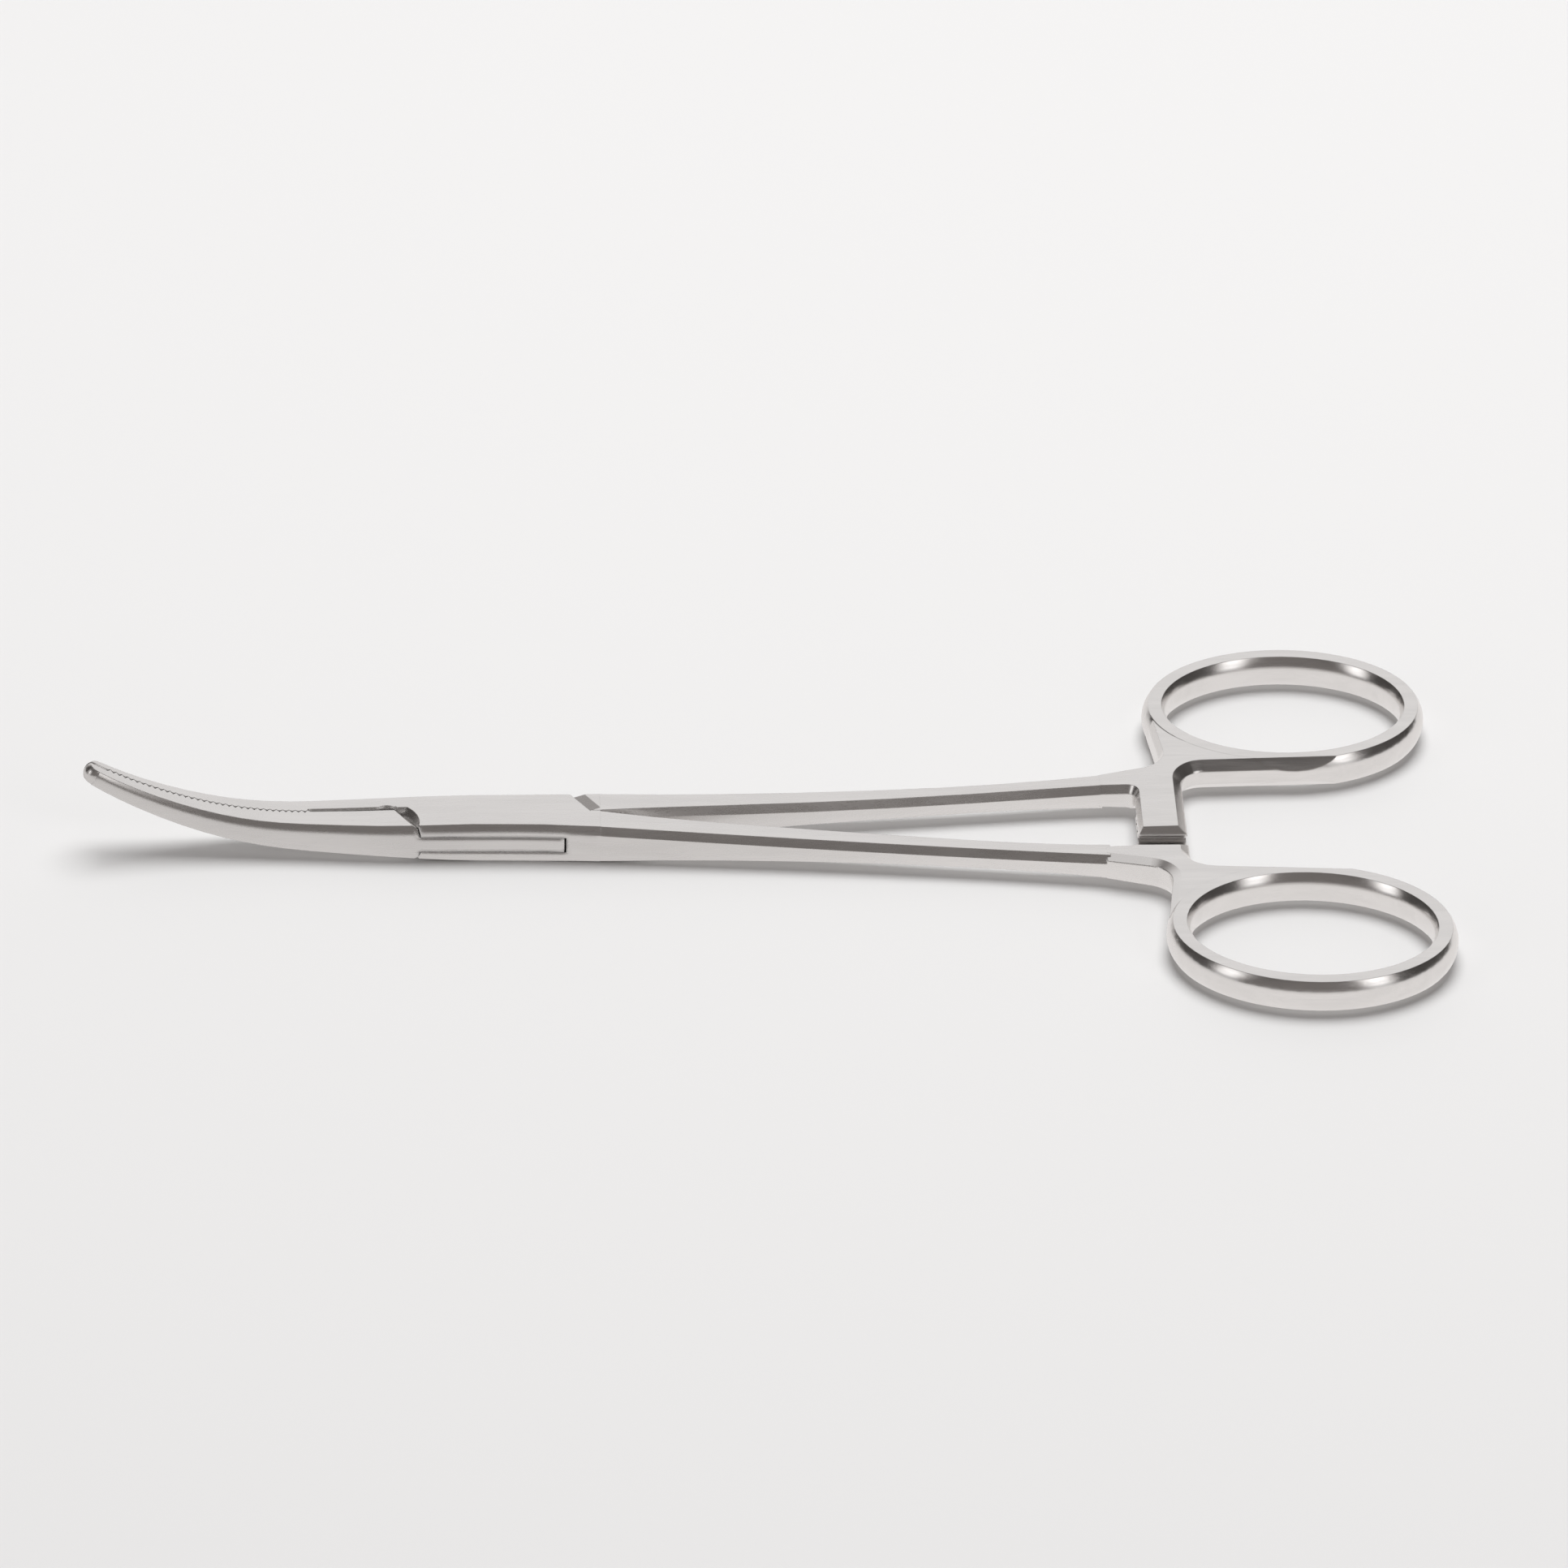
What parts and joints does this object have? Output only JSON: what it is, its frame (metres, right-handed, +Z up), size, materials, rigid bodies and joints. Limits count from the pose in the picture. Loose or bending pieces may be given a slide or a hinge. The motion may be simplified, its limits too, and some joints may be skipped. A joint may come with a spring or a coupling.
{
  "type": "hemostat forceps",
  "caption": "Curved mosquito-pattern hemostat forceps with a box lock, cross-serrated jaws, finger rings and a ratchet, in satin stainless steel.",
  "frame": {"origin": "on the pivot axis, at the underside of the box", "axes": "+X along the instrument towards the finger rings, -X towards the jaws, +Z up along the pivot axis, towards the side that the jaws curve to, +Y towards the ring of the male half"},
  "size_m": [0.1246, 0.0618, 0.0089],
  "materials": {
    "steel": "satin"
  },
  "bodies": {
    "female_body": {"female_half": "steel", "lock_pin": "steel"},
    "male_body": {"male_half": "steel"}
  },
  "joints": [
    {"name": "lock_hinge", "type": "hinge", "parent": "female_body", "child": "male_body", "pos_m": [0, 0, 0.00195], "axis": [0, 0, 1], "range_deg": [0, 55]}
  ]
}
